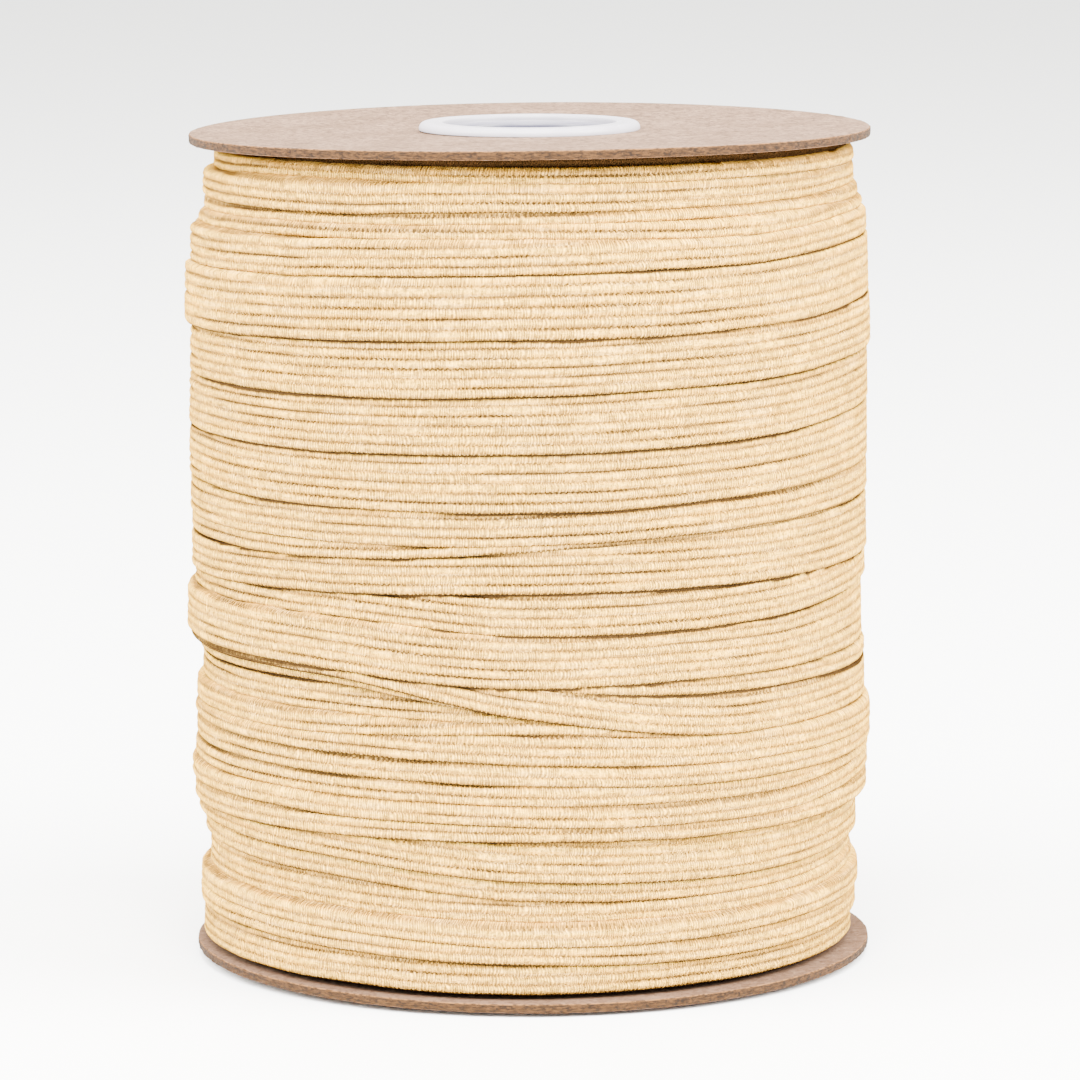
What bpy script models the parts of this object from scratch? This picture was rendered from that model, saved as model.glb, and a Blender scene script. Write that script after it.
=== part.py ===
# Roll of flat elastic on a spool: the wound roll, two round chipboard flanges, and a white
# plastic hub in two halves. The spool stands upright on the flat ring of its lower hub half.
import bpy
import bmesh
from math import cos, radians, sin

MM = 0.001

# sizes in millimetres
FLANGE_RADIUS = 38.0          # three inch chipboard disc
BOARD = 1.0                   # thickness of the chipboard
BOARD_HOLE = 11.0             # radius of the hole punched for the hub
BOARDS_TALL = 92.5            # underside of the lower board to the top of the upper board
RIM_PROUD = 0.65              # how far a hub rim stands out past the edge of its board
RIM_RADIUS = 12.35            # outside of the hub rim
RIM_THICK = 0.60
MOUTH_RADIUS = 9.5            # rounded mouth of the bore
BORE_RADIUS = 9.1             # plain bore, 18.2 mm across
SLEEVE_RADIUS = 10.7          # outside of the sleeve that carries the winding
CLEAR = 0.3                   # gap between solids that touch in the real thing
LAP = 6.0                     # length of the half lap that joins the two hub halves
ROLL_BORE = 11.0              # radius of the hole through the winding
ROLL_TOP = 90.7               # upper end of the winding, over the lower board's underside
VALLEY = 0.55                 # depth of the crease under a turn's proud lower edge
EDGE_RISE = 0.35              # height over which that edge comes out to its full radius

LIFT = RIM_PROUD              # the lower board's underside sits this far above the floor

# number of straight steps round each piece
ROLL_STEPS = 60
BOARD_STEPS = 96
HUB_STEPS = 56

# Each row is one turn of the outer layer, from the bottom up. Columns: height of the turn's
# lower edge at -75, -40, 0, 40 and 75 degrees round from the front, then the radius of the
# roll there on the left and on the right.
FRONT = (-75.0, -40.0, 0.0, 40.0, 75.0)
TURNS = (
    (1.7, 1.7, 1.7, 1.7, 1.7, 37.45, 36.35),
    (5.7, 5.6, 4.9, 4.3, 4.8, 37.50, 36.50),
    (7.8, 7.7, 6.7, 6.9, 7.3, 37.40, 36.70),
    (9.9, 9.8, 9.3, 9.2, 9.9, 36.45, 35.90),
    (13.8, 13.6, 11.7, 11.3, 11.7, 36.90, 35.70),
    (16.1, 15.8, 13.9, 13.1, 13.6, 37.50, 36.50),
    (17.8, 18.2, 18.5, 18.2, 18.2, 38.05, 37.60),
    (20.2, 20.5, 20.1, 19.7, 20.7, 38.30, 37.70),
    (22.4, 22.7, 22.4, 22.1, 22.8, 37.90, 37.80),
    (24.7, 24.9, 24.5, 23.9, 24.0, 37.80, 38.05),
    (27.3, 27.3, 26.9, 26.0, 25.8, 37.90, 38.10),
    (28.9, 29.2, 30.1, 28.4, 28.4, 37.70, 37.70),
    (31.5, 31.5, 31.2, 28.6, 28.6, 37.05, 37.60),
    (34.7, 34.9, 31.5, 28.8, 28.8, 37.25, 37.60),
    (36.1, 35.9, 31.8, 29.0, 29.0, 38.40, 37.50),
    (36.4, 36.2, 34.85, 33.5, 33.4, 38.60, 37.30),
    (36.7, 36.5, 35.2, 35.3, 35.3, 38.75, 37.05),
    (42.1, 42.2, 40.8, 41.05, 42.2, 37.80, 37.45),
    (43.9, 44.6, 45.4, 45.4, 45.4, 38.05, 37.60),
    (48.2, 48.4, 49.9, 51.0, 51.8, 38.05, 37.60),
    (50.1, 50.2, 50.5, 51.4, 52.2, 38.20, 37.65),
    (54.2, 54.1, 54.1, 54.8, 55.7, 38.30, 37.65),
    (59.9, 60.0, 60.3, 60.9, 62.2, 38.25, 37.65),
    (65.8, 66.0, 66.5, 67.2, 68.3, 38.15, 38.00),
    (71.4, 71.9, 72.6, 72.9, 74.2, 38.55, 37.70),
    (78.2, 78.7, 79.4, 79.9, 80.9, 37.90, 37.50),
    (82.5, 82.8, 83.0, 82.7, 83.7, 36.90, 37.00),
    (83.9, 84.2, 84.6, 84.7, 84.9, 36.30, 36.40),
    (85.4, 85.5, 86.0, 86.0, 86.4, 36.50, 35.95),
    (88.4, 88.9, 88.7, 88.9, 88.9, 35.20, 36.05),
)

# materials: colour, roughness
PAINT = {
    "elastic": ((0.83, 0.66, 0.46), 0.90),
    "chipboard": ((0.50, 0.38, 0.29), 0.92),
    "white_plastic": ((0.80, 0.79, 0.80), 0.42),
}


def material(name, paint):
    colour, rough = PAINT[paint]
    mat = bpy.data.materials.new(name)
    mat.use_nodes = True
    shader = mat.node_tree.nodes["Principled BSDF"]
    shader.inputs["Base Color"].default_value = (*colour, 1.0)
    shader.inputs["Roughness"].default_value = rough
    return mat


def smooth_through(knots, x):
    """Value at x of a curve through sorted (x, y) knots, never overshooting them."""
    xs = [k[0] for k in knots]
    ys = [k[1] for k in knots]
    if x <= xs[0]:
        return ys[0]
    if x >= xs[-1]:
        return ys[-1]
    i = max(n for n in range(len(xs) - 1) if xs[n] <= x)
    rise = [(ys[n + 1] - ys[n]) / (xs[n + 1] - xs[n]) for n in range(len(xs) - 1)]

    def slope(n):
        if n == 0 or n == len(xs) - 1:
            return rise[max(0, n - 1)]
        a, b = rise[n - 1], rise[n]
        return 0.0 if a * b <= 0 else 2 * a * b / (a + b)

    h = xs[i + 1] - xs[i]
    t = (x - xs[i]) / h
    a, b = slope(i) * h, slope(i + 1) * h
    return (ys[i] * (1 + 2 * t) * (1 - t) ** 2 + a * t * (1 - t) ** 2
            + ys[i + 1] * t * t * (3 - 2 * t) - b * t * t * (1 - t))


def winding_path():
    """The whole path of the lower edge, and of the radius, over the run of angles from the
    bottom turn to the top one: turn n covers 360 n - 180 to 360 n + 180 degrees."""
    last = len(TURNS) - 1
    low = [(-180.0, TURNS[0][0])]
    reach = [(-180.0, TURNS[0][6])]
    for n, row in enumerate(TURNS):
        low += [(360.0 * n + a, z) for a, z in zip(FRONT, row[:5])]
        reach += [(360.0 * n - 85.0, row[5]), (360.0 * n + 85.0, row[6])]
        if n == 0:
            low.append((180.0, TURNS[0][0]))
            reach.append((180.0, TURNS[0][6]))
        if n == last - 1:
            reach.append((360.0 * last - 180.0, TURNS[last][6]))
    low += [(360.0 * last + 180.0, ROLL_TOP), (360.0 * last + 540.0, ROLL_TOP)]
    reach.append((360.0 * last + 180.0, TURNS[last][6]))
    return low, reach


def weld_and_place(name, grid_faces, paint):
    """Make one closed object from loose four-cornered faces given by their corners."""
    bm = bmesh.new()
    corner = {}
    for quad in grid_faces:
        ring = []
        for p in quad:
            key = tuple(round(c, 5) for c in p)
            if key not in corner:
                corner[key] = bm.verts.new([c * MM for c in p])
            if corner[key] not in ring:
                ring.append(corner[key])
        if len(ring) > 2:
            bm.faces.new(ring)
    bmesh.ops.recalc_face_normals(bm, faces=bm.faces)
    mesh = bpy.data.meshes.new(name)
    bm.to_mesh(mesh)
    bm.free()
    mesh.materials.append(material(name, paint))
    thing = bpy.data.objects.new(name, mesh)
    bpy.context.collection.objects.link(thing)
    return thing


def around(r, degrees, z):
    """Point at a radius, an angle round from the front towards the right, and a height."""
    a = radians(degrees)
    return (r * sin(a), -r * cos(a), z + LIFT)


def strip(rows):
    """Four-cornered faces between neighbouring rows of points."""
    for lower, upper in zip(rows[:-1], rows[1:]):
        for j in range(len(lower) - 1):
            yield (lower[j], lower[j + 1], upper[j + 1], upper[j])


def turned(name, profile, steps, paint, warp=None):
    """A closed ring from a closed profile of (radius, height) points."""
    rows = []
    for r, z in profile + profile[:1]:
        row = []
        for j in range(steps + 1):
            a = 360.0 * (j % steps) / steps
            row.append(around(r, a, z + (warp(r, a) if warp else 0.0)))
        rows.append(row)
    return weld_and_place(name, strip(rows), paint)


def make_roll():
    """The winding as one solid: each turn is a band with a proud lower edge, laid as a
    single climbing path, so the end of one turn is the start of the next."""
    low, reach = winding_path()
    step = 360.0 / ROLL_STEPS

    def edge(total):
        return smooth_through(low, total)

    def radius(total):
        return smooth_through(reach, total)

    faces = []
    for n in range(len(TURNS)):
        rows = [[], [], [], []]
        for j in range(ROLL_STEPS + 1):
            a = -180.0 + step * j
            total = 360.0 * n + a
            z0, z1 = edge(total), edge(total + 360.0)
            tall = max(z1 - z0, 0.0)
            here = radius(total)
            above = radius(min(total + 360.0, 360.0 * len(TURNS) - 180.0))
            below = radius(max(total - 360.0, -180.0))
            full = min(1.0, tall / 1.6)
            crease_low = min(here, below) - VALLEY
            crease_up = min(here, above) - VALLEY
            crest = here if tall > 0 else crease_low
            rows[0].append(around(crease_low, a, z0))
            rows[1].append(around(crease_low + (crest - crease_low) * full, a,
                                  z0 + min(EDGE_RISE, tall * 0.3)))
            rows[2].append(around(crease_up + (crest - crease_up) * (0.35 + 0.6 * full), a,
                                  z0 + tall * 0.66))
            rows[3].append(around(crease_up, a, z1))
        if n == 0:
            base = rows[0]
        crown = rows[3]
        faces += list(strip(rows))

    # flat ends and the hole through the winding
    ring = [-180.0 + step * j for j in range(ROLL_STEPS + 1)]
    floor = TURNS[0][0] - 0.3
    low_hole = [around(ROLL_BORE, a, floor) for a in ring]
    low_edge = [around(35.2, a, floor) for a in ring]
    top_hole = [around(ROLL_BORE, a, ROLL_TOP) for a in ring]
    faces += list(strip([base, low_edge, low_hole, top_hole, crown]))
    return weld_and_place("elastic_roll", faces, "elastic")


def dish(r, depth):
    """How far a board is drawn in by the hub at its middle."""
    return depth * (1.0 - (r / FLANGE_RADIUS) ** 2)


def upper_warp(r, degrees):
    a = radians(degrees)
    out = r / FLANGE_RADIUS
    return 0.26 * out * sin(a) + 0.18 * out * out * cos(2 * a) - dish(r, 0.35)


def lower_warp(r, degrees):
    a = radians(degrees)
    out = r / FLANGE_RADIUS
    return -0.12 * out * sin(a) - 0.16 * out * out * cos(2 * a) + dish(r, 0.30)


def board_profile(z):
    """Cross-section of a board whose underside is at z, its cut edge a little rounded."""
    r, t = FLANGE_RADIUS, BOARD
    return [(BOARD_HOLE, z), (24.0, z), (r - 0.15, z), (r, z + 0.15), (r, z + t - 0.15),
            (r - 0.15, z + t), (24.0, z + t), (BOARD_HOLE, z + t)]


def hub_profile(lapped_inside):
    """Cross-section of one hub half, measured up from the flat face of its rim."""
    middle = BOARDS_TALL / 2 + RIM_PROUD
    long = middle + LAP / 2 - CLEAR / 2
    short = middle - LAP / 2 + CLEAR / 2
    rim = [(MOUTH_RADIUS + 0.25, 0.0), (RIM_RADIUS - 0.25, 0.0), (RIM_RADIUS, 0.22),
           (RIM_RADIUS, RIM_THICK - 0.1), (RIM_RADIUS - 0.1, RIM_THICK),
           (SLEEVE_RADIUS, RIM_THICK)]
    mouth = [(BORE_RADIUS, 0.9), (MOUTH_RADIUS - 0.22, 0.45), (MOUTH_RADIUS - 0.05, 0.16)]
    if lapped_inside:
        end = [(SLEEVE_RADIUS, short), (9.75, short), (9.75, long), (BORE_RADIUS, long)]
    else:
        end = [(SLEEVE_RADIUS, long), (10.05, long), (10.05, short), (BORE_RADIUS, short)]
    return rim + end + mouth


def make_hub():
    lower = [(r, z - RIM_PROUD) for r, z in hub_profile(False)]
    upper = [(r, BOARDS_TALL + RIM_PROUD - z) for r, z in hub_profile(True)]
    turned("hub_bottom", lower, HUB_STEPS, "white_plastic")
    turned("hub_top", upper, HUB_STEPS, "white_plastic")


for old in list(bpy.data.objects):
    bpy.data.objects.remove(old, do_unlink=True)

make_roll()
turned("bottom_flange", board_profile(0.0), BOARD_STEPS, "chipboard", lower_warp)
turned("top_flange", board_profile(BOARDS_TALL - BOARD), BOARD_STEPS, "chipboard", upper_warp)
make_hub()
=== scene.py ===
# %% [markdown]
# # A spool of flat elastic
#
# The real thing is one long ribbed band, wound turn after turn between two chipboard discs
# that a white plastic hub holds together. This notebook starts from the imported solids, which
# give every place and size, and dresses them: first the winding, then the boards and the hub,
# then the materials, the camera and the light.

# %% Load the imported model
import math

import bpy
import numpy as np
from mathutils import Matrix, Vector


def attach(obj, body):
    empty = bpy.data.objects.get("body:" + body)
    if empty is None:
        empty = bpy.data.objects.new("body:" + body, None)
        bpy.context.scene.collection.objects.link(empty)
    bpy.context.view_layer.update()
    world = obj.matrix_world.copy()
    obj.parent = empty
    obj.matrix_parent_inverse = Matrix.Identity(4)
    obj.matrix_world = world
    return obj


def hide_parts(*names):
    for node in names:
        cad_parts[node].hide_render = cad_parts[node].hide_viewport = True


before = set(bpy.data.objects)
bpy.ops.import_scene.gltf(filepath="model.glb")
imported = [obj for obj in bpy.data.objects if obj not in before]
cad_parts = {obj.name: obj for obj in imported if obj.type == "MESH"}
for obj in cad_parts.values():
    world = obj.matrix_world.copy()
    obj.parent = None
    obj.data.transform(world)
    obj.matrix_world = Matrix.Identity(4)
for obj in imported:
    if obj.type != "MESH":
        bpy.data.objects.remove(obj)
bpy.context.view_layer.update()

MM = 0.001

# %% [markdown]
# ## A bench for nodes
#
# Materials and Geometry Nodes are both graphs. Adding every node by hand hides the idea behind
# the wiring, so two small classes carry it. A Wire is one output of a node. Plain arithmetic
# on wires adds the Math nodes it needs, so a formula reads as it would on paper. The bench adds
# any other node in one call: its type, its settings, and what feeds its sockets.

# %% Wires and the bench
class Wire:
    """One output of a node, on which arithmetic can be written."""

    def __init__(self, bench, socket):
        self.bench = bench
        self.socket = socket

    def maths(self, operation, *others):
        fed = dict(enumerate((self, *others)))
        return self.bench.add("ShaderNodeMath", {"operation": operation}, fed)

    def also(self, name):
        return Wire(self.bench, self.socket.node.outputs[name])

    def __add__(self, other):
        return self.maths("ADD", other)

    def __sub__(self, other):
        return self.maths("SUBTRACT", other)

    def __mul__(self, other):
        return self.maths("MULTIPLY", other)

    def __truediv__(self, other):
        return self.maths("DIVIDE", other)

    def __pow__(self, other):
        return self.maths("POWER", other)

    def __abs__(self):
        return self.maths("ABSOLUTE")

    def __rsub__(self, other):
        return self.bench.add("ShaderNodeMath", {"operation": "SUBTRACT"}, {0: other, 1: self})

    __radd__ = __add__
    __rmul__ = __mul__

    def fraction(self):
        return self.maths("FRACT")

    def whole(self):
        return self.maths("FLOOR")

    def step(self, start, end):
        """0 below start, 1 above end, and a smooth rise between."""
        return self.bench.add("ShaderNodeMapRange", {"interpolation_type": "SMOOTHSTEP"},
                              {"Value": self, "From Min": start, "From Max": end})


class Bench:
    """A node tree with one method for every kind of node."""

    def __init__(self, tree):
        self.tree = tree

    def feed(self, socket, value):
        if isinstance(value, Wire):
            self.tree.links.new(value.socket, socket)
        else:
            socket.default_value = value

    def add(self, kind, settings=None, sockets=None, out=0):
        node = self.tree.nodes.new(kind)
        for name, value in (settings or {}).items():
            setattr(node, name, value)
        for name, value in (sockets or {}).items():
            self.feed(node.inputs[name], value)
        return Wire(self, node.outputs[out])

    def noise(self, scale, detail, rough, where, warp=0.0):
        """Noise between 0 and 1; a scale of 1000 gives cells about a millimetre wide."""
        return self.add("ShaderNodeTexNoise", {},
                        {"Scale": scale, "Detail": detail, "Roughness": rough,
                         "Vector": where, "Distortion": warp})

    def seeded_noise(self, scale, detail, where, seed):
        return self.add("ShaderNodeTexNoise", {"noise_dimensions": "4D"},
                        {"Scale": scale, "Detail": detail, "Vector": where, "W": seed})

    def bump(self, strength, distance, height):
        return self.add("ShaderNodeBump", {},
                        {"Strength": strength, "Distance": distance, "Height": height})

    def here(self):
        """Where the surface lies in its object's own space, in metres."""
        return self.add("ShaderNodeTexCoord", {}, {}, out="Object")

    def mark(self, name):
        """A value kept on the points of the mesh, read by a material."""
        return self.add("ShaderNodeAttribute", {"attribute_name": name}, out="Fac")

    def stored(self, name, kind="FLOAT"):
        """A value kept on the points of the mesh, read by Geometry Nodes."""
        return self.add("GeometryNodeInputNamedAttribute", {"data_type": kind},
                        {"Name": name})

    def blend(self, amount, first, second):
        """Mix two colours; each is a wire or a plain colour."""
        node = self.tree.nodes.new("ShaderNodeMix")
        node.data_type = "RGBA"
        self.feed(node.inputs["Factor"], amount)
        for socket, value in ((node.inputs[6], first), (node.inputs[7], second)):
            self.feed(socket, value if isinstance(value, Wire) else (*value, 1.0))
        return Wire(self, node.outputs[2])

    def coats(self, colour, *coats):
        """Lay further colours over a first one, each as thickly as its amount says."""
        for amount, coat in coats:
            colour = self.blend(amount, colour, coat)
        return colour

    def join(self, x, y, z):
        return self.add("ShaderNodeCombineXYZ", {}, {"X": x, "Y": y, "Z": z})


def new_material(name, recipe, **fixed):
    """A material whose recipe gives what varies, with fixed numbers set on the shader."""
    made = bpy.data.materials.new(name)
    made.use_nodes = True
    bench = Bench(made.node_tree)
    shader = made.node_tree.nodes["Principled BSDF"]
    for socket, value in fixed.items():
        shader.inputs[socket.replace("_", " ")].default_value = value
    for socket, value in recipe(bench).items():
        bench.feed(shader.inputs[socket], value)
    print("material", name, "with", len(made.node_tree.nodes), "nodes")
    return made


# %% [markdown]
# ## The path of the winding
#
# The elastic is laid as one climbing path. What the eye reads is the lower edge of each turn,
# because it lies a little over the turn below. So the path is given by a short table: a row
# for each turn of the outer layer, with the height of its lower edge over the lower board's
# underside at five angles, and the radius of the roll at the left and at the right, all in mm.
# A band crosses the others near the middle: its rows come close together where the turns below
# it vanish. The end of one row runs on into the next round the back, which keeps it one
# unbroken band.

# %% The table of turns and the curve through it
FRONT = (-75.0, -40.0, 0.0, 40.0, 75.0)     # angles of the five heights, from the front
SIDE = 85.0              # angle of the two radii, to the left and to the right
TURNS = (
    (2.0, 1.8, 1.60, 1.75, 1.9, 37.20, 35.90),
    (5.8, 5.6, 4.9, 4.3, 4.6, 37.60, 36.35),
    (7.8, 7.7, 6.7, 6.9, 7.3, 37.40, 36.70),
    (9.9, 9.8, 9.3, 9.2, 9.9, 36.45, 35.90),
    (13.8, 13.6, 11.7, 11.3, 11.7, 36.90, 35.70),
    (16.1, 15.8, 13.9, 13.1, 13.6, 37.50, 36.50),
    (17.8, 18.2, 18.5, 18.2, 18.2, 38.05, 37.60),
    (20.2, 20.5, 20.1, 19.7, 20.7, 38.30, 37.70),
    (22.4, 22.7, 22.4, 22.1, 22.8, 37.90, 37.80),
    (24.7, 24.9, 24.5, 23.9, 24.0, 37.80, 38.05),
    (27.3, 27.3, 26.9, 26.0, 25.8, 37.90, 38.10),
    (28.9, 29.2, 30.1, 28.4, 28.4, 37.70, 37.70),
    (31.5, 31.5, 31.2, 28.6, 28.6, 37.05, 37.60),
    (34.7, 34.9, 31.5, 28.8, 28.8, 37.25, 37.60),
    (36.1, 35.9, 31.8, 29.0, 29.0, 38.40, 37.50),
    (36.4, 36.2, 34.85, 33.5, 33.4, 38.60, 37.30),
    (36.7, 36.5, 35.2, 35.3, 35.3, 38.75, 37.05),
    (42.1, 42.2, 40.8, 41.05, 42.2, 37.80, 37.45),
    (43.9, 44.6, 45.4, 45.4, 45.4, 38.05, 37.60),
    (48.2, 48.4, 49.9, 51.0, 51.8, 38.05, 37.60),
    (50.1, 50.2, 50.5, 51.4, 52.2, 38.20, 37.65),
    (54.2, 54.1, 54.1, 54.8, 55.7, 38.30, 37.65),
    (59.9, 60.0, 60.3, 60.9, 62.2, 38.25, 37.65),
    (65.8, 66.0, 66.5, 67.2, 68.3, 38.15, 38.00),
    (71.4, 71.9, 72.6, 72.9, 74.2, 38.55, 37.70),
    (78.2, 78.7, 79.4, 79.9, 80.9, 37.90, 37.50),
    (82.5, 82.8, 83.0, 82.7, 83.7, 36.90, 37.00),
    (83.9, 84.2, 84.6, 84.7, 84.9, 36.30, 36.40),
    (85.4, 85.5, 86.0, 86.0, 86.4, 36.50, 35.95),
    (88.4, 88.9, 88.7, 88.9, 88.9, 35.20, 36.05),
)
LIFT = 0.65              # the lower board's underside over the floor, in mm
ROLL_TOP = 90.4          # upper end of the winding over the lower board's underside, in mm
MEAN_R = 37.8            # mean radius of the outer layer, in mm
BOARD = 1.0              # thickness of a board, in mm
BOARD_R = 38.0
BOARDS_TALL = 92.5       # over both boards, in mm
LAST = len(TURNS) - 1
PATH_END = 360.0 * LAST + 180.0


def board_warp(tilt, saddle, dish):
    """How far a board lies off its plane, in mm, at a radius and an angle from the front."""
    def off_plane(r, a):
        out = r / BOARD_R
        return (tilt * out * np.sin(a) + saddle * out * out * np.cos(2 * a)
                + dish * (1 - out * out))
    return off_plane


upper_warp = board_warp(tilt=0.26, saddle=0.18, dish=-0.35)
lower_warp = board_warp(tilt=-0.12, saddle=-0.16, dish=0.30)


def smooth_curve(knots):
    """A curve through (x, y) knots that never overshoots them."""
    xs, ys = (np.array(v, float) for v in zip(*knots))
    rise = np.diff(ys) / np.diff(xs)
    a, b = rise[:-1], rise[1:]
    both = np.where(a * b > 0, a + b, 1.0)
    inner = np.where(a * b > 0, 2 * a * b / both, 0.0)
    slope = np.concatenate([rise[:1], inner, rise[-1:]])

    def at(x):
        x = np.clip(x, xs[0], xs[-1])
        i = np.clip(np.searchsorted(xs, x, side="right") - 1, 0, len(xs) - 2)
        h = xs[i + 1] - xs[i]
        t = (x - xs[i]) / h
        return (ys[i] * (1 + 2 * t) * (1 - t) ** 2 + slope[i] * h * t * (1 - t) ** 2
                + ys[i + 1] * t * t * (3 - 2 * t) - slope[i + 1] * h * t * t * (1 - t))
    return at


def winding_path():
    """Lower edge and radius over the whole run of angles, bottom turn to top turn."""
    first_low, first_right, last_right = TURNS[0][0], TURNS[0][-1], TURNS[-1][-1]
    low = [(-180.0, first_low)]
    reach = [(-180.0, first_right)]
    for n, (*heights, left, right) in enumerate(TURNS):
        low += [(360.0 * n + a, z) for a, z in zip(FRONT, heights)]
        reach += [(360.0 * n - SIDE, left), (360.0 * n + SIDE, right)]
        if n == 0:
            low.append((180.0, first_low))
            reach.append((180.0, first_right))
        if n == LAST - 1:
            reach.append((PATH_END - 360.0, last_right))
    low += [(PATH_END, ROLL_TOP), (PATH_END + 360.0, ROLL_TOP)]
    reach.append((PATH_END, last_right))
    return smooth_curve(low), smooth_curve(reach)


edge_height, roll_radius = winding_path()
print("turns:", len(TURNS),
      "path in metres:", round(len(TURNS) * 2 * math.pi * MEAN_R * MM, 2))

# %% [markdown]
# ## The band itself
#
# The elastic is flat, 6.35 mm wide, with six rounded ribs. A sweep of one fixed outline would
# be the quick way, but a soft band changes as it goes: wherever a later turn covers it, it
# sinks by the thickness of that turn. So the outline is worked out at every step from the
# path: for each point across the band, count the later turns that lie over it, and sink by
# that many thicknesses. At the top end the band bends inwards under the board. The mesh made
# here is smooth. It carries, on each point, its place among the ribs and its outward direction,
# so that Geometry Nodes can raise the ribs afterwards.

# %% Sizes of the band, in mm
BAND_WIDE = 6.35         # quarter-inch elastic
NARROW = 6.1             # wound under a pull, it comes out this wide
WIDEST = 7.1             # where two turns lie apart, the band relaxes and spreads to this
OVERLAP = 0.12           # as it spreads, it keeps this much under the next turn
RIBS = 6
RIB_HIGH = 0.34
RIB_CUTS = (0.0, 0.09, 0.26, 0.5, 0.74, 0.91)   # points over one rib, closest at its creases
ACROSS = RIBS * len(RIB_CUTS)
STEPS = 216              # steps round one turn
BACKING = 0.58           # thickness under the ribs
EDGE_ROUND = 0.13        # how far the band's two edges round out past its ribs
LEAN = 0.14              # its lower edge stands this much further out than its upper one
SINK = 0.92              # how far a turn sinks under the one laid over it
EASE = (0.44, 0.36)      # it starts to sink this far before the edge and ends this far after
COVERS = 7               # how many later turns may lie over a point
FULL_COVER = 1.5         # a turn that shows less of its width than this covers in part only
CREVICE = (0.48, 0.15)   # the crevice starts this far below an edge, over this soft a border
PROUD = (0.05, 0.25)     # and ends where the band stands out this far, over this soft a border
FOLD_FROM, FOLD_TALL = 0.25, 0.30   # the top end folds in from this far under ROLL_TOP
FOLD_IN = 0.80           # and by this much
LID_R = 35.5             # radius at which the upper board's warp is met
LID_CLEAR = 0.28         # the winding stays this far below the upper board,
LID_SINK = 0.9           # and lower by this share of its sinking where it is covered
LID_SOFT = 0.10          # the bend there is this soft
SEAT_CLEAR = 0.25        # the winding stays this far over the lower board
print("points across the band:", ACROSS + 1)

# %% How the path and its shade wander
dice = np.random.default_rng(76)


def wander(spacing, amount):
    """A slow random drift along the path, with a new value every so many degrees."""
    count = int((PATH_END + 180.0) / spacing) + 3
    return smooth_curve([(spacing * i - 180.0, v) for i, v in
                         enumerate(dice.uniform(-amount, amount, count))])


def smooth_rise(t):
    t = np.clip(t, 0.0, 1.0)
    return t * t * (3 - 2 * t)


whole_path = np.linspace(-180.0, PATH_END, STEPS * len(TURNS) + 1)
run_mm = (whole_path + 180.0) / 360.0 * 2 * math.pi * MEAN_R
slow_drift = wander(21.0, 0.10)
quick_drift = wander(6.0, 0.04)
radius_drift = wander(38.0, 0.09)
shade_wander = wander(17.0, 0.22)
print("random knots from seed 76, first drift:", round(float(slow_drift(0.0)), 4))

# %% [markdown]
# ## The shade between turns
#
# Where one turn lies against the next there is a dark line, because light hardly enters. The
# renderer finds part of that shade by itself, but the real gap is finer than this mesh, and
# cutting it in would take many more triangles. So each point gets a mark from 0 to 1 that says
# how far it is tucked into the crevice, and the finish darkens with it. How strong the line is
# wanders along the path. A second mark does the same for the gap under the upper board.

# %% Shade in the crevices, from 0 to 1
NARROW_SHOW = 2.0        # a turn that shows this much of its width or less, in mm,
SHADE_LEAST = 0.38       # has this much shade in the crevice over it,
SHADE_WIDE = 0.22        # and this much more for each further mm
SHADE_SIDE, SHADE_FRONT = 0.60, 0.27     # at the sides, and what the front adds
SHADE_LOW = 0.72         # share that is left low down, where the creases close up
LOW_END, LOW_SPAN = 8.0, 30.0            # up to this height, and back to all over this span
CROSSING, CROSSING_REACH = 34.0, 7.0     # height at which the band crosses, and its reach
CROSSING_LEAST, CROSSING_SHADE = 0.24, 0.28      # what the crossing adds
EDGE_SHADE = 0.28        # least shade on the rounded lower edge
GAP_SHADE, GAP_RISE = 0.97, 0.10         # under the board at ROLL_TOP, and more for each mm


def crevice_shade(total, shown):
    """How dark the crevice is along the path. It is darker over a turn that shows much of its
    width, and where the band crosses the others they gape. Low down some of them close up."""
    height = edge_height(total)
    crossed = np.exp(-((height - CROSSING) / CROSSING_REACH) ** 2)
    least = SHADE_LEAST + CROSSING_LEAST * crossed
    deep_front = SHADE_SIDE + SHADE_FRONT * np.cos(np.radians(total))
    pressed = SHADE_LOW + (1 - SHADE_LOW) * smooth_rise((height - LOW_END) / LOW_SPAN)
    drift = deep_front * pressed + CROSSING_SHADE * crossed + shade_wander(total)
    wide = least + SHADE_WIDE * (shown - NARROW_SHOW)
    return np.clip(wide, least, 1.0) * np.clip(drift, 0.0, 1.0)


print("shade in front, low and high:",
      [round(float(crevice_shade(360.0 * n, 3.0)), 2) for n in (1, LAST - 3)])

# %% [markdown]
# ## Laying the band
#
# The outline comes first, as rows of radius and height for every step of the path. Then it is
# closed into a skin: the fine outer face, a plain inner face, and a rounded edge at each side.
# Solidify could give it a thickness too, but its edges, which show best, would be square.

# %% The outline of the band at every step
def lower_edge(total):
    """Where the band's lower edge runs, with the small wander of a real winding."""
    return edge_height(total) + slow_drift(total) + quick_drift(total)


def band_radius(total):
    return roll_radius(total) + radius_drift(total)


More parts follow.
